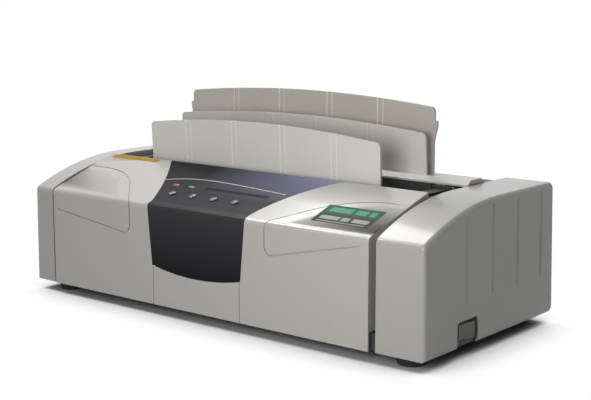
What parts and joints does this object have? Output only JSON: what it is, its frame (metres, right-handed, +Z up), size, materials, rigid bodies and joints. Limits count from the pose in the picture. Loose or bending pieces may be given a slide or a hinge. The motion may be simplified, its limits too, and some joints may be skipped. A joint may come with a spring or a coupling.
{
  "type": "thermal binding machine",
  "caption": "Table-top thermal binding machine with a heated trough, a sliding clamp bar, paper support plates, a dark control fascia, a side power rocker and a rear mains inlet.",
  "frame": {"origin": "on the table under the middle of the machine's bounding box", "axes": "+X to the machine's right seen from its front, +Y to its back, +Z up"},
  "size_m": [0.5004, 0.2262, 0.2158],
  "materials": {
    "silver_cap": "silver-grey pearl paint on moulded plastic, satin",
    "silver_cover": "silver-grey pearl paint on moulded plastic, satin",
    "silver_plate": "silver-grey pearl paint on moulded plastic, satin",
    "silver_bar": "silver-grey pearl paint on moulded plastic, satin",
    "dark_fascia": "dark blue-grey satin paint",
    "dark_deck": "near-black moulded plastic with a fine grain",
    "button_grey": "light grey moulded plastic, semi-gloss",
    "red_lens": "translucent red lens",
    "green_lens": "translucent green lens",
    "dark_window": "smoked clear plastic",
    "black_plastic": "black moulded plastic",
    "foot_rubber": "soft black rubber",
    "sheet_steel": "zinc-plated sheet steel",
    "screw_steel": "zinc-plated screws",
    "rod_steel": "ground and plated steel",
    "cast_aluminium": "plain aluminium, satin",
    "bush_bronze": "sintered bronze",
    "circuit_board": "green solder mask",
    "mica_board": "pressed mica insulation",
    "copper_winding": "enamelled copper wire under tape",
    "lead_sleeve": "insulated wire",
    "strip_yellow": "plain yellow adhesive film",
    "badge_film": "plain two-tone adhesive film"
  },
  "bodies": {
    "root": {"left_end_cap": "silver_cap", "right_end_cap": "silver_cap", "left_front_cover": "silver_cover", "right_front_cover": "silver_cover", "centre_apron": "silver_cover", "control_fascia": "dark_fascia", "control_board": "circuit_board", "key_switches": "black_plastic", "red_indicator": "red_lens", "green_indicator": "green_lens", "display_window": "dark_window", "display_module": "black_plastic", "buzzer": "black_plastic", "board_screws": "screw_steel", "base_pan": "sheet_steel", "pan_screws": "screw_steel", "rubber_feet": "foot_rubber", "foot_screws": "screw_steel", "left_side_frame": "sheet_steel", "right_side_frame": "sheet_steel", "slide_rods": "rod_steel", "rod_clips": "screw_steel", "front_support_plate": "silver_plate", "well_liner": "dark_deck", "document_sensor": "black_plastic", "heating_plate": "cast_aluminium", "heater_element": "mica_board", "heater_insulation": "mica_board", "heater_clamp": "sheet_steel", "well_screws": "screw_steel", "thermostat": "cast_aluminium", "thermal_fuse": "screw_steel", "rear_housing": "dark_deck", "power_inlet": "black_plastic", "inlet_pins": "rod_steel", "rear_screws": "screw_steel", "switch_bezel": "black_plastic", "power_switch_body": "black_plastic", "power_board": "circuit_board", "board_standoffs": "screw_steel", "transformer_core": "sheet_steel", "transformer_coil": "copper_winding", "relay": "black_plastic", "triac_heat_sink": "cast_aluminium", "capacitors": "black_plastic", "internal_leads": "lead_sleeve", "yellow_strip": "strip_yellow", "function_badge": "badge_film"},
    "clamp_carriage": {"clamp_bar": "silver_bar", "bar_screws": "screw_steel", "clamp_jaw": "cast_aluminium", "clamp_support_plate": "silver_plate", "cooling_rack_plate": "silver_plate", "slide_blocks": "black_plastic", "slide_bushes": "bush_bronze"},
    "first_button": {"button_1": "button_grey"},
    "second_button": {"button_2": "button_grey"},
    "third_button": {"button_3": "button_grey"},
    "fourth_button": {"button_4": "button_grey"},
    "rocker": {"power_rocker": "black_plastic"}
  },
  "joints": [
    {"name": "clamp_slide", "type": "slide", "parent": "root", "child": "clamp_carriage", "axis": [0, -1, 0], "range_m": [0, 0.048]},
    {"name": "first_button_press", "type": "slide", "parent": "root", "child": "first_button", "axis": [0, 0.3182, -0.948], "range_m": [0, 0.001], "stiffness_N_per_m": 800, "springref_m": -0.001},
    {"name": "second_button_press", "type": "slide", "parent": "root", "child": "second_button", "axis": [0, 0.3182, -0.948], "range_m": [0, 0.001], "stiffness_N_per_m": 800, "springref_m": -0.001},
    {"name": "third_button_press", "type": "slide", "parent": "root", "child": "third_button", "axis": [0, 0.3182, -0.948], "range_m": [0, 0.001], "stiffness_N_per_m": 800, "springref_m": -0.001},
    {"name": "fourth_button_press", "type": "slide", "parent": "root", "child": "fourth_button", "axis": [0, 0.3182, -0.948], "range_m": [0, 0.001], "stiffness_N_per_m": 800, "springref_m": -0.001},
    {"name": "rocker_tilt", "type": "hinge", "parent": "root", "child": "rocker", "pos_m": [0.2445, -0.04265, 0.0242], "axis": [0, 0, 1], "range_deg": [0, 14]}
  ]
}
